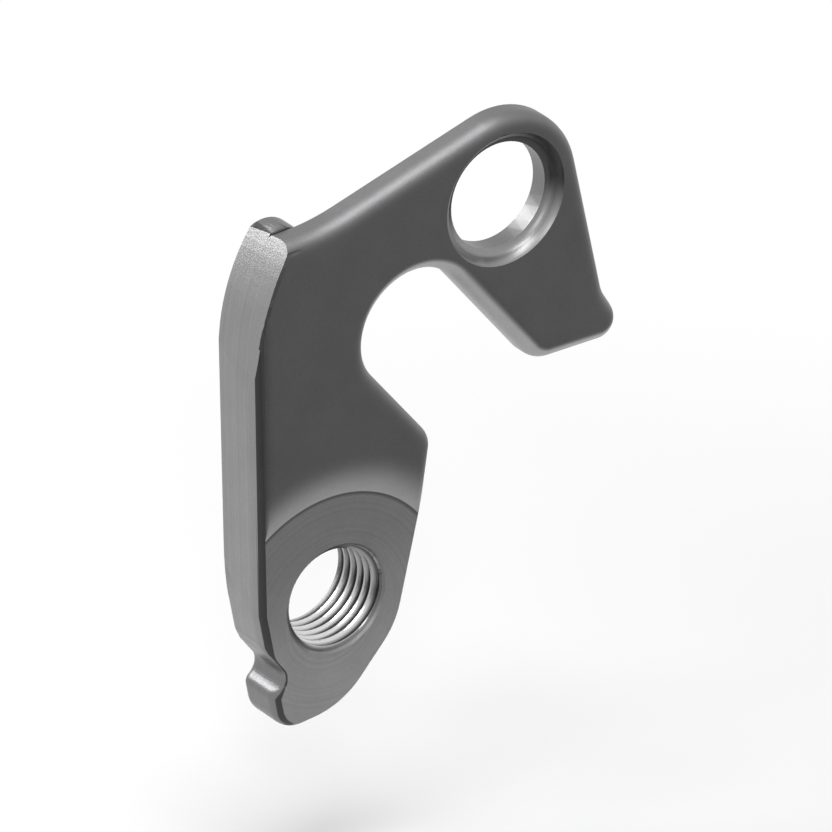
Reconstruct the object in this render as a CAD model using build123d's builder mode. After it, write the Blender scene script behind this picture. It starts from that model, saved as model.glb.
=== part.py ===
from build123d import *
from math import asin, degrees, sqrt
import os

# Bicycle derailleur hanger, one forged and machined aluminium piece.
# Side view in X and Z: X points forward along the bicycle, Z points up.
# The origin is on the axis of the bolt bore, in the face that seats on the frame end.
# The outboard side, where the derailleur hangs, looks along -Y. Sizes are millimetres.

os.makedirs("parts", exist_ok=True)

# Thicknesses, each measured from the outboard face
plate_thickness = 3.15
rim_thickness = 5.6
boss_thickness = 7.1
edge_rounding = 1.8
edge_break = 0.25

# Bolt bore with its stepped seat
bore_diameter = 9.9
seat_diameter = 11.3
seat_depth = 1.15
seat_bevel = 0.55
bore_back_bevel = 0.25

# Round lobe about the bolt bore
lobe_radius = 7.8
lobe_centre_x = 0.42
lobe_centre_z = -0.25

# Open slot for the wheel axle
slot_width = 10.9
slot_centre_x = -8.93
slot_centre_z = -10.07
slot_angle = -51.3
slot_corner_rounding = 2.2

# Front leg between the slot and the front edge
leg_bottom_z = -17.1
leg_shoulder_x = 11.05
leg_shoulder_z = -12.4
toe_x = 13.85
toe_rounding = 1.95
leg_corner_rounding = 2.7
leg_waist_rounding = 4.0

# Top edge and rear edge
top_bend_x = -18.6
top_bend_z = 2.25
rear_top_z = 1.9
rear_x = -26.35
rear_lean = 0.7
top_bend_rounding = 20.0

# Derailleur hole, cut M10 x 1: the wall here is the thread's core
derailleur_x = -17.65
derailleur_z = -33.4
thread_core_diameter = 8.92
thread_mouth_diameter = 10.4

# Lower body around the derailleur hole
front_top_x = -6.75
front_top_z = -18.1
front_bend_x = -8.1
front_bend_z = -27.0
nose_upper_x = -10.75
nose_upper_z = -38.1
nose_lower_x = -16.6
nose_lower_z = -44.5
bottom_rear_x = -23.3
bottom_rear_z = -45.2
front_bend_rounding = 40.0
nose_rounding = 8.0
bottom_rear_rounding = 2.4
back_rounding = 0.9

# Relief on the outboard face round the derailleur hole
relief_depth = 0.35
relief_radius = 11.8
relief_centre_x = -18.15
relief_centre_z = -35.0
relief_ease_radius = 20.0

# Facet milled along the upper rear edge
facet_radius = 18.5
facet_foot_z = -8.6
facet_depth = 0.2
facet_foot_angle = 5.0
facet_sweep = 37.0
facet_tilt = 6.3

# Notch and stop tab for the derailleur's angle screw
notch_x = -22.4
notch_z = -39.9
notch_rounding = 1.6
notch_side_x = -24.6
notch_side_z = -37.0
notch_side_rounding = 0.8
rear_turn_x = -26.5
rear_turn_z = -33.0
tab_slope = 38.8
tip_rounding = 1.0

# Recess on the inboard side that takes the frame end
lip_top_x = -18.4
lip_foot_x = -20.6
lip_cap_radius = 3.0
lip_cap_centre_z = -0.7
ledge_z = -16.2
ledge_drop = 1.6
recess_corner_rounding = 3.0
pad_diameter = 13.0
pad_bevel = 0.3

rim_rise = rim_thickness - plate_thickness
boss_rise = boss_thickness - plate_thickness
slot_radius = slot_width / 2
slot_way = Vector(1, 0).rotate(Axis.Z, slot_angle)
slot_centre = Vector(slot_centre_x, slot_centre_z)
lobe_centre = Vector(lobe_centre_x, lobe_centre_z)
derailleur_centre = Vector(derailleur_x, derailleur_z)
notch_apex = Vector(notch_x, notch_z)
relief_y = relief_depth - plate_thickness
clear = 5.0
run_off = 1.0
sliver = 0.02


def crossing(start, way, other, other_way):
    """Point where the line from start along way crosses the line from other along other_way."""
    return start + way * ((other - start).cross(other_way).Z / way.cross(other_way).Z)


def tangent_way(point, side):
    """Direction from a point outside the lobe along its tangent, on side 1 or -1."""
    gap = lobe_centre - point
    return gap.normalized().rotate(Axis.Z, side * degrees(asin(lobe_radius / gap.length)))


top_bend = Vector(top_bend_x, top_bend_z)
leg_shoulder = Vector(leg_shoulder_x, leg_shoulder_z)
front_top = Vector(front_top_x, front_top_z)
front_bend = Vector(front_bend_x, front_bend_z)

# Rounding the corner of the lobe's two tangents by its radius makes the lobe
lobe_corner = crossing(top_bend, tangent_way(top_bend, 1), leg_shoulder, tangent_way(leg_shoulder, -1))

# Corners at the slot's mouth, on its front wall and on its rear wall
slot_side = slot_way.rotate(Axis.Z, 90) * slot_radius
leg_corner = crossing(slot_centre + slot_side, slot_way, Vector(toe_x, leg_bottom_z), Vector(1, 0))
mouth_corner = crossing(slot_centre - slot_side, slot_way, front_top, front_bend - front_top)
mouth_middle = crossing(slot_centre, slot_way, Vector(toe_x, leg_bottom_z), Vector(1, 0))

# Corners of the outline in the side view, each with its rounding
outline = [
    (Vector(rear_x, rear_top_z), 0),
    (top_bend, top_bend_rounding),
    (lobe_corner, lobe_radius),
    (leg_shoulder, leg_waist_rounding),
    (Vector(toe_x, leg_bottom_z), toe_rounding),
    (mouth_middle, 0),
    (front_top, 0),
    (front_bend, front_bend_rounding),
    (Vector(nose_upper_x, nose_upper_z), nose_rounding),
    (Vector(nose_lower_x, nose_lower_z), nose_rounding),
    (Vector(bottom_rear_x, bottom_rear_z), bottom_rear_rounding),
    (Vector(rear_x + rear_lean, rear_turn_z), 0),
]
slot_reach = 4 * slot_width
recess_reach = 2 * (toe_x - bottom_rear_z)

# Lip up the rear edge and the ledge above the boss, which frame the recess
lip = [
    (Vector(rear_x - clear, lip_cap_centre_z), 0),
    (Vector(lip_top_x, lip_cap_centre_z), 0),
    (Vector(lip_foot_x, ledge_z), recess_corner_rounding),
    (Vector(front_bend_x + clear, ledge_z - ledge_drop), 0),
    (Vector(front_bend_x + clear, bottom_rear_z - clear), 0),
    (Vector(rear_x - clear, bottom_rear_z - clear), 0),
]

with BuildPart() as hanger:
    # Blank at the full thickness of the rim, with the slot open to the lower front
    with BuildSketch(Plane.XZ.offset(-rim_rise)) as side_view:
        with BuildLine():
            FilletPolyline([p for p, r in outline], radius=[r for p, r in outline], close=True)
        make_face()
        with Locations(slot_centre):
            Circle(slot_radius, mode=Mode.SUBTRACT)
        with Locations(slot_centre + slot_way * slot_reach / 2):
            Rectangle(slot_reach, slot_width, rotation=slot_angle, mode=Mode.SUBTRACT)
        fillet(side_view.vertices().sort_by_distance(mouth_corner)[0], slot_corner_rounding)
        fillet(side_view.vertices().sort_by_distance(leg_corner)[0], leg_corner_rounding)
    extrude(amount=rim_thickness)

    # Rounding of the whole outboard edge, as the forging leaves it
    outboard_face = hanger.faces().sort_by(Axis.Y)[0]
    fillet(outboard_face.outer_wire().edges(), edge_rounding)

    # Recess for the frame end: the plate is left thin, with a lip behind and a ledge below
    with BuildSketch(Plane.XZ) as recess:
        with Locations(derailleur_centre):
            Rectangle(recess_reach, recess_reach)
        with BuildLine():
            FilletPolyline([p for p, r in lip], radius=[r for p, r in lip], close=True)
        make_face(mode=Mode.SUBTRACT)
    extrude(amount=-boss_rise, mode=Mode.SUBTRACT)

    # Small break along the free edges of the thin plate
    seat = hanger.faces().filter_by(Axis.Y).filter_by_position(Axis.Y, -sliver, sliver)[0]
    edge_line = side_view.sketch.face().outer_wire().moved(Location((0, -rim_rise, 0)))
    free_edges = seat.outer_wire().edges().filter_by(lambda e: edge_line.distance_to(e @ 0.5) < sliver)
    chamfer(free_edges, edge_break)

    # Round upper end of the lip
    with BuildSketch(Plane.XZ):
        with Locations(Vector(lip_top_x - lip_cap_radius, lip_cap_centre_z)):
            Circle(lip_cap_radius)
    extrude(amount=-rim_rise)

    # Round pad inboard, which gives the derailleur bolt its full length of thread
    with BuildSketch(Plane.XZ):
        with Locations(derailleur_centre):
            Circle(pad_diameter / 2)
    extrude(amount=-boss_rise)
    chamfer(hanger.faces().sort_by(Axis.Y)[-1].outer_wire().edges(), pad_bevel)

    # Facet milled up the rear edge, a little deeper outboard, which leaves a crisp edge there
    lean = Vector(1, 0).rotate(Axis.Z, facet_tilt)
    with BuildSketch(Plane((rear_x, rim_rise, 0), x_dir=lean, z_dir=(lean.Y, -lean.X, 0))):
        with BuildLine():
            facet_centre = Vector(facet_depth + facet_radius, facet_foot_z)
            sweep = CenterArc(facet_centre, facet_radius, 180 - facet_foot_angle, -facet_sweep)
            run_out = sweep @ 0 - (sweep % 0) * 3 * clear
            Polyline(sweep @ 1, (-clear, (sweep @ 1).Y), (-clear, run_out.Y), run_out, sweep @ 0)
        make_face()
    extrude(amount=2 * rim_thickness, both=True, mode=Mode.SUBTRACT)

    # Notch above the stop tab
    with BuildSketch(Plane.XZ):
        with BuildLine():
            tab_way = Vector(-1, 0).rotate(Axis.Z, tab_slope)
            FilletPolyline(
                Vector(rear_turn_x, rear_turn_z),
                Vector(notch_side_x, notch_side_z),
                notch_apex,
                notch_apex + tab_way * 3 * clear,
                Vector(rear_x - clear, rear_turn_z),
                radius=[0, notch_side_rounding, notch_rounding, 0, 0],
                close=True,
            )
        make_face()
    extrude(amount=rim_thickness, both=True, mode=Mode.SUBTRACT)

    # Tip of the stop tab, and the inboard edge round the whole lower body
    tab_edges = hanger.edges().filter_by(Axis.Y).filter_by_position(Axis.Z, bottom_rear_z, notch_z)
    fillet(tab_edges.sort_by(Axis.X)[0], tip_rounding)
    inboard_edges = hanger.edges().filter_by_position(Axis.Y, rim_rise - sliver, rim_rise + sliver)
    fillet(inboard_edges.sort_by(Axis.Z)[0], back_rounding)

    # Shallow relief on the outboard face, its upper edge eased into the plate
    with BuildSketch(Plane((relief_centre_x, 0, relief_centre_z), z_dir=(0, 0, 1))):
        with BuildLine():
            ease_drop = relief_depth + sliver
            ease_width = sqrt(2 * relief_ease_radius * ease_drop - ease_drop**2)
            floor_edge = Vector(relief_radius, relief_y)
            crest = Vector(relief_radius + ease_width, -plate_thickness - sliver)
            RadiusArc(floor_edge, crest, -relief_ease_radius)
            above = -plate_thickness - clear
            Polyline(crest, (crest.X, above), (0, above), (0, relief_y), floor_edge)
        make_face()
    revolve(axis=Axis((relief_centre_x, 0, relief_centre_z), (0, 1, 0)), mode=Mode.SUBTRACT)

    # Bolt bore with its bevelled and stepped seat
    with BuildSketch(Plane.XY):
        with BuildLine():
            seat_radius = seat_diameter / 2
            bore_radius = bore_diameter / 2
            Polyline(
                (0, -plate_thickness - run_off),
                (seat_radius + seat_bevel + run_off, -plate_thickness - run_off),
                (seat_radius, -plate_thickness + seat_bevel),
                (seat_radius, -plate_thickness + seat_depth),
                (bore_radius, -plate_thickness + seat_depth),
                (bore_radius, -bore_back_bevel),
                (bore_radius + bore_back_bevel + run_off, run_off),
                (0, run_off),
                close=True,
            )
        make_face()
    revolve(axis=Axis.Y, mode=Mode.SUBTRACT)

    # Derailleur hole, bevelled at both mouths
    with BuildSketch(Plane((derailleur_x, 0, derailleur_z), z_dir=(0, 0, 1))):
        with BuildLine():
            core_radius = thread_core_diameter / 2
            mouth_radius = thread_mouth_diameter / 2
            mouth_bevel = mouth_radius - core_radius
            Polyline(
                (0, relief_y - run_off),
                (mouth_radius + run_off, relief_y - run_off),
                (core_radius, relief_y + mouth_bevel),
                (core_radius, boss_rise - mouth_bevel),
                (mouth_radius + run_off, boss_rise + run_off),
                (0, boss_rise + run_off),
                close=True,
            )
        make_face()
    revolve(axis=Axis((derailleur_x, 0, derailleur_z), (0, 1, 0)), mode=Mode.SUBTRACT)

hanger.part.label = "derailleur_hanger"
export_step(hanger.part, "parts/derailleur_hanger.step")
print("volume", round(hanger.part.volume, 1), "box", hanger.part.bounding_box())
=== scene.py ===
# %% [markdown]
# # A bicycle derailleur hanger
# The hanger is one small piece of forged and machined aluminium, about 52 mm tall.
# It is fastened through its upper bore, the wheel axle sits in its slot, and the
# derailleur screws into its lower hole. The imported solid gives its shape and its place.
# Here it gets its real thread, the grain of its blasted skin and the marks of the tools.

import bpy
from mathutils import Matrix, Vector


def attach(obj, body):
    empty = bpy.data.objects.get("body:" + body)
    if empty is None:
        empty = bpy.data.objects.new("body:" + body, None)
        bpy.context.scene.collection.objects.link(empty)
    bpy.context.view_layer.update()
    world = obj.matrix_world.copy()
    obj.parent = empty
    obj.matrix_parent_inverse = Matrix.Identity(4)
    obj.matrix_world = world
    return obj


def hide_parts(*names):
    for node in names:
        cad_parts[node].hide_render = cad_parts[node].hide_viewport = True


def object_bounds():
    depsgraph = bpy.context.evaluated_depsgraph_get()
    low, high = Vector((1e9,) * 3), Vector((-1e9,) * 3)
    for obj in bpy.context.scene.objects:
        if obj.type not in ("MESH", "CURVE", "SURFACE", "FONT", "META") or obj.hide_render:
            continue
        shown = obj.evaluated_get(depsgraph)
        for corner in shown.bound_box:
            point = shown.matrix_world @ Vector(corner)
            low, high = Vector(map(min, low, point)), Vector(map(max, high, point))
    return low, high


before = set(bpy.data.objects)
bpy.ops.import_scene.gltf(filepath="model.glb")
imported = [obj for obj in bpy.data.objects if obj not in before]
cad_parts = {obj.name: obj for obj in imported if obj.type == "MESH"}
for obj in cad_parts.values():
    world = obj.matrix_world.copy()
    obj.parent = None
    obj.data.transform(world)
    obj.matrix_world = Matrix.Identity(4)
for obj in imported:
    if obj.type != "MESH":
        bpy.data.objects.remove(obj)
cad_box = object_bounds()
print("size of the hanger in mm", [round((b - a) * 1000, 2) for a, b in zip(*cad_box)])

# %% Tools that the steps below share
from math import cos, pi, radians, sin, tan

import bmesh
import bpy
from mathutils import Vector

MM = 0.001
scene = bpy.context.scene
scene.view_settings.view_transform = "Standard"

# %% [markdown]
# ## The camera
# The photograph is taken from the left front and from above, with so long a lens that
# edges which run the same way stay parallel. A camera far off with a very long lens
# does the same. It is moved sideways and upwards to frame the piece, never tilted,
# because a tilt would change the angle at which each face is seen.

# %% Camera at the photograph's angle
VIEW_AZIMUTH = radians(-35.6)
VIEW_ELEVATION = radians(27.7)
FRAME_WIDTH = 71.2 * MM
SENSOR_WIDTH = 36
CAMERA_DISTANCE = 1.5
OUTBOARD_FACE_Y = -3.15 * MM
SHIFT_RIGHT = -7.70 * MM
SHIFT_UP = -18.49 * MM

to_camera = Vector((
    sin(VIEW_AZIMUTH) * cos(VIEW_ELEVATION),
    -cos(VIEW_AZIMUTH) * cos(VIEW_ELEVATION),
    sin(VIEW_ELEVATION),
))
camera_right = Vector((cos(VIEW_AZIMUTH), sin(VIEW_AZIMUTH), 0))
camera_up = to_camera.cross(camera_right)
bore_axis_outboard = Vector((0, OUTBOARD_FACE_Y, 0))
target = bore_axis_outboard + camera_right * SHIFT_RIGHT + camera_up * SHIFT_UP

camera_data = bpy.data.cameras.new("camera")
camera_data.sensor_width = SENSOR_WIDTH
camera_data.lens = SENSOR_WIDTH * CAMERA_DISTANCE / FRAME_WIDTH
camera = bpy.data.objects.new("camera", camera_data)
camera.location = target + to_camera * CAMERA_DISTANCE
camera.rotation_euler = (pi / 2 - VIEW_ELEVATION, 0, VIEW_AZIMUTH)
scene.collection.objects.link(camera)
scene.camera = camera
print("lens in mm", round(camera_data.lens))

# %% [markdown]
# ## The thread in the derailleur hole
# The real hole is cut with a tap: a screw with the thread's own shape that leaves its
# grooves in the wall. The same can be done here. One could twist a flat profile with a
# Screw modifier, but a grid of points laid along the helix is as short and closes
# exactly. A boolean then takes this tap out of a copy of the solid, so that each groove
# runs out in the bevelled mouths as a real one does.

# %% The tap, as a grid of points along the helix
HOLE_X = -17.65
HOLE_Z = -33.4
PITCH = 1.0
STEPS_PER_TURN = 120
TAP_PROFILE = [(-0.090, 4.40), (0.090, 4.40), (0.270, 4.711), (0.437, 5.0), (0.563, 5.0), (0.730, 4.711)]
TAP_START = -4.0
TAP_END = 5.0
TURNS_BEFORE = 2
TURNS_AFTER = 1
TAP_WELD = 1e-4


def make_tap():
    """A closed screw of millimetre size about the derailleur hole's axis."""
    mesh = bmesh.new()
    first_turn = int(TAP_START / PITCH) - TURNS_BEFORE
    last_turn = int(TAP_END / PITCH) + TURNS_AFTER
    rings = []
    for step in range(STEPS_PER_TURN + 1):
        turn = step / STEPS_PER_TURN
        out_x, out_z = sin(2 * pi * turn), cos(2 * pi * turn)
        ring = []
        for number in range(first_turn, last_turn + 1):
            for along, radius in TAP_PROFILE:
                y = PITCH * (number + turn) + along
                ring.append(mesh.verts.new((HOLE_X + radius * out_x, y, HOLE_Z + radius * out_z)))
        rings.append(ring)
    for ring, beside in zip(rings, rings[1:]):
        for k in range(len(ring) - 1):
            mesh.faces.new((ring[k], ring[k + 1], beside[k + 1], beside[k]))
    bmesh.ops.remove_doubles(mesh, verts=mesh.verts, dist=TAP_WELD)
    for y, side in ((TAP_START, -1), (TAP_END, 1)):
        everything = mesh.verts[:] + mesh.edges[:] + mesh.faces[:]
        cut = bmesh.ops.bisect_plane(
            mesh, geom=everything, plane_co=(0, y, 0), plane_no=(0, side, 0), clear_outer=True
        )
        rim = [e for e in cut["geom_cut"] if isinstance(e, bmesh.types.BMEdge)]
        bmesh.ops.contextual_create(mesh, geom=rim)
    bmesh.ops.recalc_face_normals(mesh, faces=mesh.faces)
    return mesh


tap_mesh = make_tap()
open_edges = sum(1 for e in tap_mesh.edges if len(e.link_faces) != 2)
print("tap: faces", len(tap_mesh.faces), "open edges", open_edges)

# %% The hanger's own mesh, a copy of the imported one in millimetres
WELD = 1e-3
cad_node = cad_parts["derailleur_hanger"]


def as_object(name, mesh):
    data = bpy.data.meshes.new(name)
    mesh.to_mesh(data)
    mesh.free()
    made = bpy.data.objects.new(name, data)
    scene.collection.objects.link(made)
    return made


body_mesh = bmesh.new()
body_mesh.from_mesh(cad_node.data)
bmesh.ops.scale(body_mesh, vec=(1 / MM,) * 3, verts=body_mesh.verts)
bmesh.ops.remove_doubles(body_mesh, verts=body_mesh.verts, dist=WELD)
body = as_object("hanger", body_mesh)
tap = as_object("tap", tap_mesh)
print("before the cut: faces", len(body.data.polygons), "tap faces", len(tap.data.polygons))

# %% Cutting the thread
def take_out(piece, cutter):
    """Boolean difference, applied, with the cutter removed afterwards."""
    cut = piece.modifiers.new("cut", "BOOLEAN")
    cut.operation = "DIFFERENCE"
    cut.solver = "EXACT"
    cut.object = cutter
    bpy.context.view_layer.update()
    evaluated = piece.evaluated_get(bpy.context.evaluated_depsgraph_get())
    result = bpy.data.meshes.new_from_object(evaluated)
    piece.modifiers.clear()
    piece.data = result
    bpy.data.objects.remove(cutter)
    print(piece.name, "after the cut: faces", len(result.polygons))
    return piece


body = take_out(body, tap)

# %% [markdown]
# ## A broken edge along the facet
# The facet at the top of the rear edge was milled last, so it meets the forged face in
# a crisp edge. A fitter breaks such an edge with two strokes of a file. A bevel on the
# mesh's own edges would have to cope with its fans of thin triangles. A bar laid along
# the edge and taken out with a boolean leaves one narrow flat. By the way it faces, that
# flat takes the painted dark shade of the band below, and it draws a thin dark line
# along the edge.

# %% The facet's crisp edge, read from the mesh
FLAT_WIDTH = 0.34
EDGE_BEHIND_X = -22.4
EDGE_OUTBOARD_Y = -1.8
EDGE_LOW_Z = -8.0
FORGED_Y = -0.8
FACET_X = -0.8
FACET_Y_MOST = 0.15


def crisp_edge(mesh):
    """Points of the facet's outboard edge from the top down: place, bisector, depth of cut."""
    found = {}
    for edge in mesh.edges:
        faces = sorted(edge.link_faces, key=lambda f: f.normal.y)
        place = (edge.verts[0].co + edge.verts[1].co) / 2
        outside = place.x > EDGE_BEHIND_X or place.y > EDGE_OUTBOARD_Y or place.z < EDGE_LOW_Z
        if len(faces) != 2 or outside:
            continue
        forged, facet = faces
        faces_back = facet.normal.x < FACET_X and abs(facet.normal.y) < FACET_Y_MOST
        if forged.normal.y < FORGED_Y and faces_back:
            depth = FLAT_WIDTH / 2 * tan(edge.calc_face_angle() / 2)
            for vert in edge.verts:
                bisector = (forged.normal + facet.normal).normalized()
                found[vert.index] = (vert.co.copy(), bisector, depth)
    return sorted(found.values(), key=lambda item: -item[0].z)


# %% The file, a bar along that edge
RUN_OUT_STEPS = 3
FIRST_STEP = 0.3
FILE_HALF_WIDTH = 0.5
FILE_THICKNESS = 0.6


def make_file(points):
    """A bar along the edge, whose inner side lies where the file cuts."""
    mesh = bmesh.new()
    rings = []
    for k, (point, bisector, depth) in enumerate(points):
        before = points[max(k - 1, 0)][0]
        after = points[min(k + 1, len(points) - 1)][0]
        aside = (after - before).normalized().cross(bisector).normalized() * FILE_HALF_WIDTH
        low = point - bisector * depth * min(1, (k + FIRST_STEP) / RUN_OUT_STEPS)
        high = low + bisector * FILE_THICKNESS
        rings.append([mesh.verts.new(v) for v in (low - aside, low + aside, high + aside, high - aside)])
    for ring, beside in zip(rings, rings[1:]):
        for k in range(4):
            mesh.faces.new((ring[k], ring[k - 1], beside[k - 1], beside[k]))
    mesh.faces.new(rings[0])
    mesh.faces.new(rings[-1])
    bmesh.ops.recalc_face_normals(mesh, faces=mesh.faces)
    return mesh


# %% Breaking the edge
edged = bmesh.new()
edged.from_mesh(body.data)
edged.normal_update()
edge_points = crisp_edge(edged)
edged.free()
print("crisp edge: points", len(edge_points), "z from", round(edge_points[0][0].z, 2),
      "to", round(edge_points[-1][0].z, 2))
body = take_out(body, as_object("file", make_file(edge_points)))

# %% [markdown]
# ## Clean faces and crisp edges
# The cuts leave many small triangles in flat faces. A bevel on every machined edge would
# be truer, but needs a cleaner mesh. Here the roundings stay smooth and the machined
# edges stay crisp, because edges above an angle are marked sharp, and a weighted normal
# keeps the light even across a flat face that borders a rounding. The top of the milled
# facet meets the lip's cap in narrow triangles, so it is kept flat altogether.

# %% Tidy mesh and smooth shading
SHARP_ANGLE = radians(20)
MILLED_FLAT_BEHIND_X = -22.0
MILLED_FLAT_X = -0.8
MILLED_FLAT_Z = 0.5
EVEN_LIGHT_WEIGHT = 60

tidy = bmesh.new()
tidy.from_mesh(body.data)
bmesh.ops.remove_doubles(tidy, verts=tidy.verts, dist=WELD)
bmesh.ops.scale(tidy, vec=(MM,) * 3, verts=tidy.verts)
for face in tidy.faces:
    face.smooth = True
tidy.to_mesh(body.data)
open_edges = sum(1 for e in tidy.edges if len(e.link_faces) != 2)
print("hanger: faces", len(tidy.faces), "open edges", open_edges)
tidy.free()
body.data.set_sharp_from_angle(angle=SHARP_ANGLE)
for face in body.data.polygons:
    on_rear_edge = face.center.x < MILLED_FLAT_BEHIND_X * MM
    if on_rear_edge and face.normal.x < MILLED_FLAT_X and face.normal.z > MILLED_FLAT_Z:
        face.use_smooth = False
flat_faces = sum(1 for face in body.data.polygons if not face.use_smooth)
print("flat faces at the top of the facet", flat_faces)
weighted = body.modifiers.new("even light", "WEIGHTED_NORMAL")
weighted.keep_sharp = True
weighted.weight = EVEN_LIGHT_WEIGHT

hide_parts("derailleur_hanger")
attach(body, "root")

# %% [markdown]
# ## Grain of the metal
# The forging is blasted with fine beads, which leaves tiny dents close together. Tools
# leave something else: fine parallel lines where a cutter ran along, rings where it
# turned. Both could be real dents in the mesh, but at a tenth of a millimetre that
# would take millions of faces. A height that changes over the surface and tilts the
# light is enough. It is built once as a node group and placed in each material.

# %% Helpers for materials
def new_material(name):
    made = bpy.data.materials.new(name)
    made.use_nodes = True
    return made, made.node_tree.nodes, made.node_tree.links


def math_node(nodes, links, operation, *values):
    made = nodes.new("ShaderNodeMath")
    made.operation = operation
    for place, value in enumerate(values):
        if isinstance(value, (int, float)):
            made.inputs[place].default_value = value
        else:
            links.new(value, made.inputs[place])
    return made.outputs[0]


def ramp_node(nodes, links, value, low, high, to_low=0.0, to_high=1.0):
    made = nodes.new("ShaderNodeMapRange")
    made.interpolation_type = "SMOOTHSTEP"
    made.inputs["From Min"].default_value = low
    made.inputs["From Max"].default_value = high
    made.inputs["To Min"].default_value = to_low
    made.inputs["To Max"].default_value = to_high
    links.new(value, made.inputs["Value"])
    return made.outputs["Result"]


def xyz_nodes(nodes, links, kind):
    """X, Y and Z of the point's place in metres, "Object", or of the way it faces, "Normal"."""
    split = nodes.new("ShaderNodeSeparateXYZ")
    links.new(nodes.new("ShaderNodeTexCoord").outputs[kind], split.inputs[0])
    return split.outputs


def distance_node(nodes, links, middle_x, middle_z):
    """Distance in metres from an axis that runs along y through a middle in millimetres."""
    place = xyz_nodes(nodes, links, "Object")
    squares = []
    for axis, middle in (("X", middle_x), ("Z", middle_z)):
        offset = math_node(nodes, links, "SUBTRACT", place[axis], middle * MM)
        squares.append(math_node(nodes, links, "POWER", offset, 2.0))
    return math_node(nodes, links, "SQRT", math_node(nodes, links, "ADD", *squares))


def new_group(name, inputs, outputs):
    """Node group with named inputs, a default each or None for a vector, and named outputs."""
    group = bpy.data.node_groups.new(name, "ShaderNodeTree")
    for label, value in inputs.items():
        kind = "NodeSocketVector" if value is None else "NodeSocketFloat"
        socket = group.interface.new_socket(label, in_out="INPUT", socket_type=kind)
        if value is not None:
            socket.default_value = value
    for label, kind in outputs.items():
        group.interface.new_socket(label, in_out="OUTPUT", socket_type=kind)
    print("group:", name, list(inputs), "->", list(outputs))
    given = group.nodes.new("NodeGroupInput").outputs
    result = group.nodes.new("NodeGroupOutput").inputs
    return group, given, result


def use_group(nodes, group, **values):
    made = nodes.new("ShaderNodeGroup")
    made.node_tree = group
    for label, value in values.items():
        made.inputs[label.replace("_", " ")].default_value = value
    return made


# %% Node group: fine grain
NOISE_MIDDLE = 0.5
DENT_DETAIL = 3.0
DENT_ROUGHNESS = 0.6
SPECK_CONTRAST = 0.25
CLOUDS_PER_MM = 0.25
CLOUD_DETAIL = 4.0


def make_grain():
    """Dents of Grain Size mm and Depth mm, with slow cloudy changes of shade."""
    group, given, result = new_group(
        "fine grain",
        {"Grain Size": 0.16, "Depth": 0.02, "Cloudiness": 0.22},
        {"Normal": "NodeSocketVector", "Shade": "NodeSocketFloat"},
    )
    nodes, links = group.nodes, group.links
    place = nodes.new("ShaderNodeTexCoord").outputs["Object"]
    dents = nodes.new("ShaderNodeTexNoise")
    dents.inputs["Detail"].default_value = DENT_DETAIL
    dents.inputs["Roughness"].default_value = DENT_ROUGHNESS
    links.new(place, dents.inputs["Vector"])
    links.new(math_node(nodes, links, "DIVIDE", 1 / MM, given["Grain Size"]), dents.inputs["Scale"])
    bump = nodes.new("ShaderNodeBump")
    links.new(math_node(nodes, links, "MULTIPLY", given["Depth"], MM), bump.inputs["Distance"])
    links.new(dents.outputs["Fac"], bump.inputs["Height"])
    links.new(bump.outputs["Normal"], result["Normal"])
    clouds = nodes.new("ShaderNodeTexNoise")
    clouds.inputs["Scale"].default_value = CLOUDS_PER_MM / MM
    clouds.inputs["Detail"].default_value = CLOUD_DETAIL
    links.new(place, clouds.inputs["Vector"])
    swing = math_node(nodes, links, "SUBTRACT", clouds.outputs["Fac"], NOISE_MIDDLE)
    swing = math_node(nodes, links, "MULTIPLY", swing, given["Cloudiness"])
    specks = math_node(nodes, links, "SUBTRACT", dents.outputs["Fac"], NOISE_MIDDLE)
    specks = math_node(nodes, links, "MULTIPLY", specks, SPECK_CONTRAST)
    both = math_node(nodes, links, "ADD", swing, specks)
    links.new(math_node(nodes, links, "ADD", both, 1.0), result["Shade"])
    return group


grain = make_grain()


# %% Node group: tool marks
LINE_DETAIL = 2.0


def make_tool_marks():
    """Lines that change only with Across, a distance in metres, Spacing mm apart."""
    group, given, result = new_group(
        "tool marks",
        {"Across": 0.0, "Spacing": 0.15, "Depth": 0.006, "Contrast": 0.25, "Normal": None},
        {"Normal": "NodeSocketVector", "Shade": "NodeSocketFloat"},
    )
    nodes, links = group.nodes, group.links
    lines = nodes.new("ShaderNodeTexNoise")
    lines.noise_dimensions = "1D"
    lines.inputs["Detail"].default_value = LINE_DETAIL
    links.new(given["Across"], lines.inputs["W"])
    links.new(math_node(nodes, links, "DIVIDE", 1 / MM, given["Spacing"]), lines.inputs["Scale"])
    bump = nodes.new("ShaderNodeBump")
    links.new(math_node(nodes, links, "MULTIPLY", given["Depth"], MM), bump.inputs["Distance"])
    links.new(lines.outputs["Fac"], bump.inputs["Height"])
    links.new(given["Normal"], bump.inputs["Normal"])
    links.new(bump.outputs["Normal"], result["Normal"])
    swing = math_node(nodes, links, "SUBTRACT", lines.outputs["Fac"], NOISE_MIDDLE)
    swing = math_node(nodes, links, "MULTIPLY", swing, given["Contrast"])
    links.new(math_node(nodes, links, "ADD", swing, 1.0), result["Shade"])
    return group


tool_marks = make_tool_marks()
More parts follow.
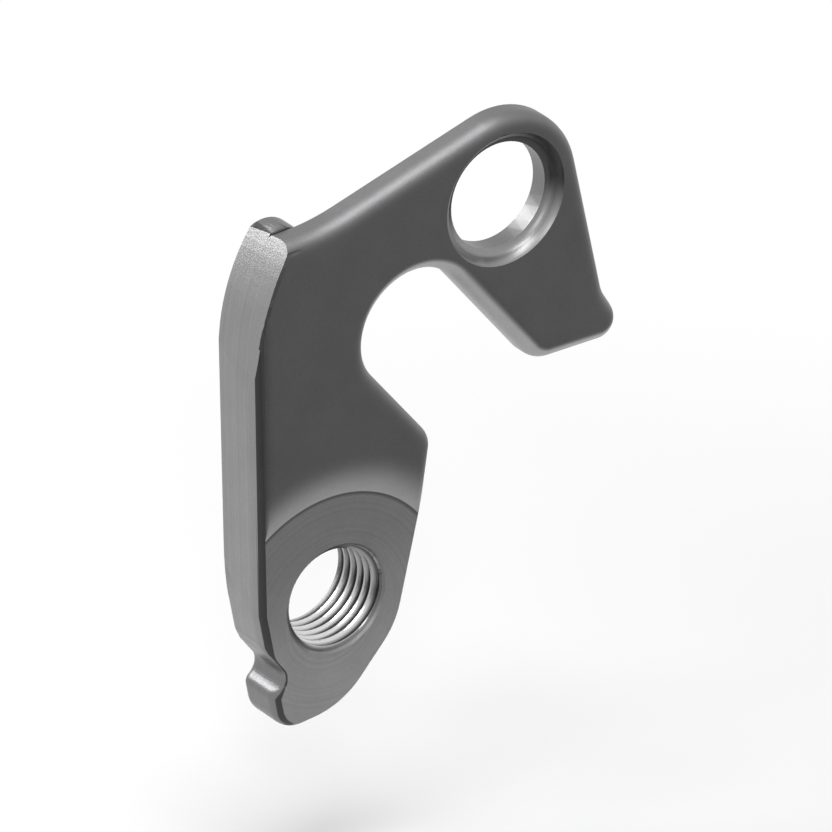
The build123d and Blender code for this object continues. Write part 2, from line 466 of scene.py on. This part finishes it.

# %% [markdown]
# ## One skin with three finishes
# The forging is blasted a dark satin grey. Its walls and edges, which turn away from the
# outboard face, get a painted highlight, and the undersides a brighter painted light.
# The rear edge was milled afterwards and is bright, and painted shade darkens the
# rounding beside it. Round the derailleur hole a round cutter faced the seat: its
# lead-in gets a painted highlight, a bright crescent, then a painted dark line marks
# where the flat seat begins, and the seat is painted lighter towards the bottom.
# Separate materials would end at mesh edges. Masks from the place and the direction
# of the surface end where the cutter did.

# %% Node group: milled zone
MILLED_FRONT_X = -20.9
REARWARD_FROM = -0.50
REARWARD_FULL = -0.58
MILLED_FROM = -0.52
MILLED_TO = -0.46
DARK_BAND_FROM = -0.93
DARK_BAND_FULL = -0.78
TURNED_BACK_FROM = -0.15
TURNED_BACK_FULL = -0.35


def make_milled_zone():
    """Mask of the milled rear edge, and of a painted dark band beside it on the forging."""
    group, _, result = new_group(
        "milled zone", {}, {"Mask": "NodeSocketFloat", "Painted Shade": "NodeSocketFloat"}
    )
    nodes, links = group.nodes, group.links
    place = xyz_nodes(nodes, links, "Object")
    facing = xyz_nodes(nodes, links, "Normal")
    behind = math_node(nodes, links, "LESS_THAN", place["X"], MILLED_FRONT_X * MM)
    rearward = ramp_node(nodes, links, facing["X"], REARWARD_FROM, REARWARD_FULL)
    not_forged = ramp_node(nodes, links, facing["Y"], MILLED_FROM, MILLED_TO)
    mask = math_node(nodes, links, "MULTIPLY", behind, rearward)
    links.new(math_node(nodes, links, "MULTIPLY", mask, not_forged), result["Mask"])
    # painted shade: a dark band in the rounding beside the rear edge
    turned_back = ramp_node(nodes, links, facing["X"], TURNED_BACK_FROM, TURNED_BACK_FULL)
    rounded = ramp_node(nodes, links, facing["Y"], DARK_BAND_FROM, DARK_BAND_FULL)
    painted_dark_band = math_node(nodes, links, "MULTIPLY", turned_back, rounded)
    links.new(math_node(nodes, links, "MULTIPLY", painted_dark_band, behind), result["Painted Shade"])
    return group


milled_zone = make_milled_zone()

# %% Node group: faced seat
SEAT_X = -18.15
SEAT_Z = -35.0
SEAT_RADIUS = 11.75
SEAT_EDGE = 0.1
LEAD_IN = 4.2
LEAD_IN_FALL = 1.6
RIM_INSIDE = 0.5
RIM_OUTSIDE = 0.12
SEAT_DEEPEST_Y = -2.6
LOWER_LIGHT_TOP_Z = -27.0
LOWER_LIGHT_BOTTOM_Z = -42.0


def make_faced_seat():
    """Masks of the faced seat, of its lead-in and lower half, painted lighter, and of its rim, painted
    dark.
    """
    group, _, result = new_group("faced seat", {}, {
        "Seat": "NodeSocketFloat", "Lead In": "NodeSocketFloat", "Rim": "NodeSocketFloat",
        "Painted Lower Light": "NodeSocketFloat", "Radius": "NodeSocketFloat",
    })
    nodes, links = group.nodes, group.links
    place = xyz_nodes(nodes, links, "Object")
    radius = distance_node(nodes, links, SEAT_X, SEAT_Z)
    outboard = math_node(nodes, links, "LESS_THAN", place["Y"], SEAT_DEEPEST_Y * MM)
    seat = ramp_node(nodes, links, radius, SEAT_RADIUS * MM, (SEAT_RADIUS - SEAT_EDGE) * MM)
    # the lead-in gets a painted highlight, a bright crescent
    lead_in = ramp_node(nodes, links, radius, (SEAT_RADIUS + LEAD_IN) * MM, SEAT_RADIUS * MM)
    lead_in = math_node(nodes, links, "POWER", lead_in, LEAD_IN_FALL)
    # the rim gets a painted shade, a dark line where the flat seat begins
    rim_inner, rim_outer = (SEAT_RADIUS - RIM_INSIDE) * MM, (SEAT_RADIUS - RIM_OUTSIDE) * MM
    rim = ramp_node(nodes, links, radius, rim_inner, rim_outer)
    rim = math_node(nodes, links, "MULTIPLY", rim, seat)
    # painted light: the seat is painted lighter towards the bottom
    painted_lower_light = ramp_node(nodes, links, place["Z"], LOWER_LIGHT_TOP_Z * MM, LOWER_LIGHT_BOTTOM_Z * MM)
    for label, mask in (("Seat", seat), ("Lead In", lead_in), ("Rim", rim), ("Painted Lower Light", painted_lower_light)):
        links.new(math_node(nodes, links, "MULTIPLY", mask, outboard), result[label])
    links.new(radius, result["Radius"])
    return group


faced_seat = make_faced_seat()

# %% Shades of the hanger aluminium, and how one passes into the next
FACE_SHADE = 0.088
# painted highlight on walls and edges that turn away from the outboard face
EDGE_PAINTED_HIGHLIGHT = 0.18
# painted light on surfaces that face down
UNDERSIDE_PAINTED_LIGHT = 0.40
# painted shade in the rounding beside the milled rear edge
DARK_BAND_PAINTED_SHADE = 0.06
MILLED_SHADE = 0.27
MILLED_FOOT_SHADE = 0.19
SEAT_SHADE = 0.165
# painted highlight on the seat's lead-in
LEAD_IN_PAINTED_HIGHLIGHT = 0.30
# painted shade: a dark line at the rim of the seat
RIM_PAINTED_SHADE = 0.08
# painted light on the lower half of the seat
LOWER_SEAT_PAINTED_LIGHT = 0.26
FORGED_ROUGHNESS = 0.47
MILLED_ROUGHNESS = 0.36
BLUE_TINT = 1.015


def blend(nodes, links, mask, below, above):
    """Value that goes from below to above as mask goes from 0 to 1."""
    made = nodes.new("ShaderNodeMapRange")
    links.new(mask, made.inputs["Value"])
    for label, value in (("To Min", below), ("To Max", above)):
        if isinstance(value, (int, float)):
            made.inputs[label].default_value = value
        else:
            links.new(value, made.inputs[label])
    return made.outputs["Result"]


print("hanger aluminium: darkest", DARK_BAND_PAINTED_SHADE, "brightest", UNDERSIDE_PAINTED_LIGHT)

# %% Masks and marks on the hanger aluminium
EDGE_FROM_Y = -0.97
EDGE_FULL_Y = -0.55
BENEATH_FROM_Z = -0.1
BENEATH_FULL_Z = -0.4
BENEATH_FROM_Y = -0.995
BENEATH_FULL_Y = -0.85
FOOT_FROM_Z = -35 * MM
FOOT_FULL_Z = -38 * MM

skin, nodes, links = new_material("hanger aluminium")
shader = nodes["Principled BSDF"]
shader.inputs["Metallic"].default_value = 1.0
fine = use_group(nodes, grain)
rear = use_group(nodes, milled_zone).outputs
milled = rear["Mask"]
seat = use_group(nodes, faced_seat).outputs
facing = xyz_nodes(nodes, links, "Normal")
place = xyz_nodes(nodes, links, "Object")
# painted highlight: walls and edges that turn away from the outboard face are painted lighter
edge = ramp_node(nodes, links, facing["Y"], EDGE_FROM_Y, EDGE_FULL_Y)
# painted light: surfaces that face down are painted lighter still
underside_painted_light = ramp_node(nodes, links, facing["Z"], BENEATH_FROM_Z, BENEATH_FULL_Z)
underside_light_edge = ramp_node(nodes, links, facing["Y"], BENEATH_FROM_Y, BENEATH_FULL_Y)
underside_painted_light = math_node(nodes, links, "MULTIPLY", underside_painted_light, underside_light_edge)
foot = ramp_node(nodes, links, place["Z"], FOOT_FROM_Z, FOOT_FULL_Z)
strokes = use_group(nodes, tool_marks, Spacing=0.35, Contrast=0.3)
links.new(place["Y"], strokes.inputs["Across"])
links.new(fine.outputs["Normal"], strokes.inputs["Normal"])
rings = use_group(nodes, tool_marks, Spacing=0.3, Contrast=0.22)
links.new(seat["Radius"], rings.inputs["Across"])
links.new(fine.outputs["Normal"], rings.inputs["Normal"])
print("hanger aluminium: nodes for masks and marks", len(nodes))

# %% The shades laid over each other
# painted highlight on edges, painted light on undersides, lead-in and lower seat, and painted shade at
# the rim and beside the rear edge are laid in here
shade = blend(nodes, links, edge, FACE_SHADE, EDGE_PAINTED_HIGHLIGHT)
shade = blend(nodes, links, underside_painted_light, shade, UNDERSIDE_PAINTED_LIGHT)
shade = blend(nodes, links, seat["Lead In"], shade, LEAD_IN_PAINTED_HIGHLIGHT)
faced = blend(nodes, links, seat["Painted Lower Light"], SEAT_SHADE, LOWER_SEAT_PAINTED_LIGHT)
faced = math_node(nodes, links, "MULTIPLY", faced, rings.outputs["Shade"])
shade = blend(nodes, links, seat["Seat"], shade, faced)
shade = blend(nodes, links, seat["Rim"], shade, RIM_PAINTED_SHADE)
shade = blend(nodes, links, rear["Painted Shade"], shade, DARK_BAND_PAINTED_SHADE)
cut_shade = blend(nodes, links, foot, MILLED_SHADE, MILLED_FOOT_SHADE)
cut_shade = math_node(nodes, links, "MULTIPLY", strokes.outputs["Shade"], cut_shade)
shade = blend(nodes, links, milled, shade, cut_shade)
shade = math_node(nodes, links, "MULTIPLY", shade, fine.outputs["Shade"])
tint = nodes.new("ShaderNodeCombineColor")
links.new(shade, tint.inputs["Red"])
links.new(shade, tint.inputs["Green"])
links.new(math_node(nodes, links, "MULTIPLY", shade, BLUE_TINT), tint.inputs["Blue"])
links.new(tint.outputs["Color"], shader.inputs["Base Color"])
roughness = blend(nodes, links, milled, FORGED_ROUGHNESS, MILLED_ROUGHNESS)
links.new(roughness, shader.inputs["Roughness"])
print("hanger aluminium: nodes with the shades", len(nodes))

# %% The slope of grain, rings and strokes
VECTOR_A = 4
VECTOR_B = 5
VECTOR_RESULT = 1


def mix_slopes(nodes, links, mask, below, above):
    """Normal that goes from below to above as mask goes from 0 to 1."""
    made = nodes.new("ShaderNodeMix")
    made.data_type = "VECTOR"
    links.new(mask, made.inputs["Factor"])
    links.new(below, made.inputs[VECTOR_A])
    links.new(above, made.inputs[VECTOR_B])
    return made.outputs[VECTOR_RESULT]


slope = mix_slopes(nodes, links, seat["Seat"], fine.outputs["Normal"], rings.outputs["Normal"])
slope = mix_slopes(nodes, links, milled, slope, strokes.outputs["Normal"])
links.new(slope, shader.inputs["Normal"])
body.data.materials.clear()
body.data.materials.append(skin)
print("hanger aluminium: nodes in all", len(nodes))

# %% [markdown]
# ## The seat in the upper bore and the thread
# Both holes were turned or tapped, so fine lines run round them. The lower half of
# each hole gets painted light and the upper half painted shade. Painted shade darkens
# the roots of the thread, and a painted highlight brightens its crests. Masks could
# draw this on the skin as well, but these faces end at real edges, so they get a
# material of their own.

# %% Shades of the turned aluminium
BETWEEN_HOLES_Z = -20.0
SEAT_FLOOR_Y = -1.97
# painted shade on the upper half of each hole and painted light on its lower half
LOWER_LIGHT_FROM_Z = 0.5
LOWER_LIGHT_FULL_Z = -3.8
SEAT_TOP_SHADE = 0.06
THREAD_TOP_SHADE = 0.22
SEAT_LOWER_LIT_SHADE = 0.28
THREAD_LOWER_LIT_SHADE = 0.48
BORE_SHADE = 0.20
SEAT_ROUGHNESS = 0.4
THREAD_ROUGHNESS = 0.27
# painted shade in the thread's roots and a painted highlight on its crests
CREST_RADIUS = 4.5
ROOT_RADIUS = 4.85
CREST_GAIN = 1.5
ROOT_GAIN = 0.35

print("turned aluminium: darkest", SEAT_TOP_SHADE, "brightest", THREAD_LOWER_LIT_SHADE)

# %% Turned aluminium for the seat in the upper bore and the thread
turned, nodes, links = new_material("turned aluminium")
shader = nodes["Principled BSDF"]
shader.inputs["Metallic"].default_value = 1.0
fine = use_group(nodes, grain, Depth=0.004)
turns = use_group(nodes, tool_marks, Spacing=0.2, Contrast=0.35)
place = xyz_nodes(nodes, links, "Object")
links.new(place["Y"], turns.inputs["Across"])
links.new(fine.outputs["Normal"], turns.inputs["Normal"])
shade = math_node(nodes, links, "MULTIPLY", fine.outputs["Shade"], turns.outputs["Shade"])
lower_hole = math_node(nodes, links, "LESS_THAN", place["Z"], BETWEEN_HOLES_Z * MM)
above_axis = math_node(nodes, links, "MULTIPLY_ADD", lower_hole, -HOLE_Z * MM, place["Z"])
# painted light: the lower half of each hole is painted brighter, the upper half darker
lower_light_mask = ramp_node(nodes, links, above_axis, LOWER_LIGHT_FROM_Z * MM, LOWER_LIGHT_FULL_Z * MM)
top_shade = blend(nodes, links, lower_hole, SEAT_TOP_SHADE, THREAD_TOP_SHADE)
lower_lit_shade = blend(nodes, links, lower_hole, SEAT_LOWER_LIT_SHADE, THREAD_LOWER_LIT_SHADE)
painted_lower_light = blend(nodes, links, lower_light_mask, top_shade, lower_lit_shade)
through = math_node(nodes, links, "GREATER_THAN", place["Y"], SEAT_FLOOR_Y * MM)
in_bore_wall = math_node(nodes, links, "GREATER_THAN", through, lower_hole)
painted_lower_light = blend(nodes, links, in_bore_wall, painted_lower_light, BORE_SHADE)
shade = math_node(nodes, links, "MULTIPLY", shade, painted_lower_light)
thread_radius = distance_node(nodes, links, HOLE_X, HOLE_Z)
# painted shade darkens the thread's roots and a painted highlight brightens its crests
crest_and_root_light = ramp_node(nodes, links, thread_radius, CREST_RADIUS * MM, ROOT_RADIUS * MM, CREST_GAIN, ROOT_GAIN)
shade = math_node(nodes, links, "MULTIPLY", shade, blend(nodes, links, lower_hole, 1.0, crest_and_root_light))
roughness = blend(nodes, links, lower_hole, SEAT_ROUGHNESS, THREAD_ROUGHNESS)
links.new(roughness, shader.inputs["Roughness"])
tint = nodes.new("ShaderNodeCombineColor")
for channel in ("Red", "Green", "Blue"):
    links.new(shade, tint.inputs[channel])
links.new(tint.outputs["Color"], shader.inputs["Base Color"])
links.new(turns.outputs["Normal"], shader.inputs["Normal"])
body.data.materials.append(turned)
print("turned aluminium: nodes", len(nodes))

# %% Faces that were turned or tapped
SEAT_WALL_REACH = 6.25
THREAD_REACH = 5.15

turned_faces = 0
for face in body.data.polygons:
    corners = [body.data.vertices[v].co / MM for v in face.vertices]
    in_bore = all(Vector((c.x, c.z)).length < SEAT_WALL_REACH for c in corners)
    in_thread = all(Vector((c.x - HOLE_X, c.z - HOLE_Z)).length < THREAD_REACH for c in corners)
    if in_bore or in_thread:
        face.material_index = 1
        turned_faces += 1
print("turned faces", turned_faces)

# %% [markdown]
# ## Floor and light
# The piece hangs a little above a pale floor, as if held through its upper bore. Metal
# shows what is around it, so where the soft boxes stand matters more than how strong they
# are. A big one to the left and a little behind lights the rear wall and the thread. One
# nearly straight above draws the bright line along the top rounding. A small one beside
# the camera is there for the corners that face it. A dark card lies on the floor in
# front, and the rounding beside the rear edge mirrors it. It shows in reflections only
# and throws no shadow. The floor could be lit until it looks white, but then all that
# stands on it would be too bright. Instead it fades to white, away from the piece, for
# the rays of the camera and of reflections.

# %% Rays that see the white room
def sees_room(nodes, links):
    """1 for camera, mirror and glass rays, 0 for the rays of diffuse light."""
    path = nodes.new("ShaderNodeLightPath").outputs
    seen = math_node(nodes, links, "MAXIMUM", path["Is Camera Ray"], path["Is Glossy Ray"])
    return math_node(nodes, links, "MAXIMUM", seen, path["Is Transmission Ray"])


# %% Pale floor
FLOOR_GAP = 14 * MM
FLOOR_REACH = 4.0
FLOOR_NEAR = 30 * MM
FLOOR_FAR = 100 * MM
FLOOR_WHITE = 0.86
FLOOR_ROUGHNESS = 0.9

floor_z = cad_box[0].z - FLOOR_GAP
floor_mesh = bmesh.new()
bmesh.ops.create_grid(floor_mesh, x_segments=1, y_segments=1, size=FLOOR_REACH)
floor = as_object("floor", floor_mesh)
floor.location.z = floor_z
paper, nodes, links = new_material("pale floor")
sheet = nodes["Principled BSDF"]
sheet.inputs["Base Color"].default_value = (FLOOR_WHITE, FLOOR_WHITE, FLOOR_WHITE, 1)
sheet.inputs["Roughness"].default_value = FLOOR_ROUGHNESS
sheet.inputs["Specular IOR Level"].default_value = 0.0
away = nodes.new("ShaderNodeVectorMath")
away.operation = "LENGTH"
links.new(nodes.new("ShaderNodeTexCoord").outputs["Object"], away.inputs[0])
far_off = ramp_node(nodes, links, away.outputs["Value"], FLOOR_NEAR, FLOOR_FAR)
white = nodes.new("ShaderNodeEmission")
fade = nodes.new("ShaderNodeMixShader")
links.new(math_node(nodes, links, "MULTIPLY", far_off, sees_room(nodes, links)), fade.inputs["Fac"])
links.new(sheet.outputs["BSDF"], fade.inputs[1])
links.new(white.outputs["Emission"], fade.inputs[2])
links.new(fade.outputs["Shader"], nodes["Material Output"].inputs["Surface"])
floor.data.materials.append(paper)
print("floor height in mm", round(floor_z / MM, 2))

# %% Dark card
CARD_X = -75 * MM
CARD_Y = -78 * MM
CARD_HALF = 42 * MM
CARD_BLACK = 0.02
CARD_ROUGHNESS = 0.95

card_mesh = bmesh.new()
bmesh.ops.create_grid(card_mesh, x_segments=1, y_segments=1, size=CARD_HALF)
card = as_object("dark card", card_mesh)
card.location = (CARD_X, CARD_Y, floor_z + MM)
card.visible_camera = False
card.visible_shadow = False
card.visible_diffuse = False
felt, nodes, links = new_material("dark card")
cover = nodes["Principled BSDF"]
cover.inputs["Base Color"].default_value = (CARD_BLACK, CARD_BLACK, CARD_BLACK, 1)
cover.inputs["Roughness"].default_value = CARD_ROUGHNESS
card.data.materials.append(felt)
print("dark card from the middle in mm", [round(v / MM) for v in card.location])

# %% Soft boxes
LIGHT_DISTANCE = 0.30
aim = (cad_box[0] + cad_box[1]) / 2


def soft_box(name, direction, width, height, brightness):
    """A soft box whose face looks brightness times as bright as white paper in full light."""
    lamp = bpy.data.lights.new(name, "AREA")
    lamp.shape = "RECTANGLE"
    lamp.size = width
    lamp.size_y = height
    lamp.energy = brightness * pi * width * height
    box = bpy.data.objects.new(name, lamp)
    way = Vector(direction).normalized()
    box.location = aim + way * LIGHT_DISTANCE
    box.rotation_euler = way.to_track_quat("Z", "Y").to_euler()
    box.visible_camera = False
    scene.collection.objects.link(box)
    print(name, "power in W", round(lamp.energy, 2))


soft_box("shoulder soft box", (-0.44, 0.70, 0.56), 0.17, 0.17, 6.0)
soft_box("overhead soft box", (-0.10, -0.10, 0.99), 0.16, 0.12, 8.0)
soft_box("glint soft box", (-0.48, -0.69, 0.54), 0.06, 0.06, 10.0)

# %% Pale surroundings
ROOM_LIGHT = 0.4
ROOM_SEEN = 1.0

world = bpy.data.worlds.new("studio")
world.use_nodes = True
scene.world = world
nodes, links = world.node_tree.nodes, world.node_tree.links
surround = nodes["Background"]
surround.inputs["Color"].default_value = (1, 1, 1, 1)
strength = blend(nodes, links, sees_room(nodes, links), ROOM_LIGHT, ROOM_SEEN)
links.new(strength, surround.inputs["Strength"])
print("room: strength for diffuse light", ROOM_LIGHT, "as seen and mirrored", ROOM_SEEN)
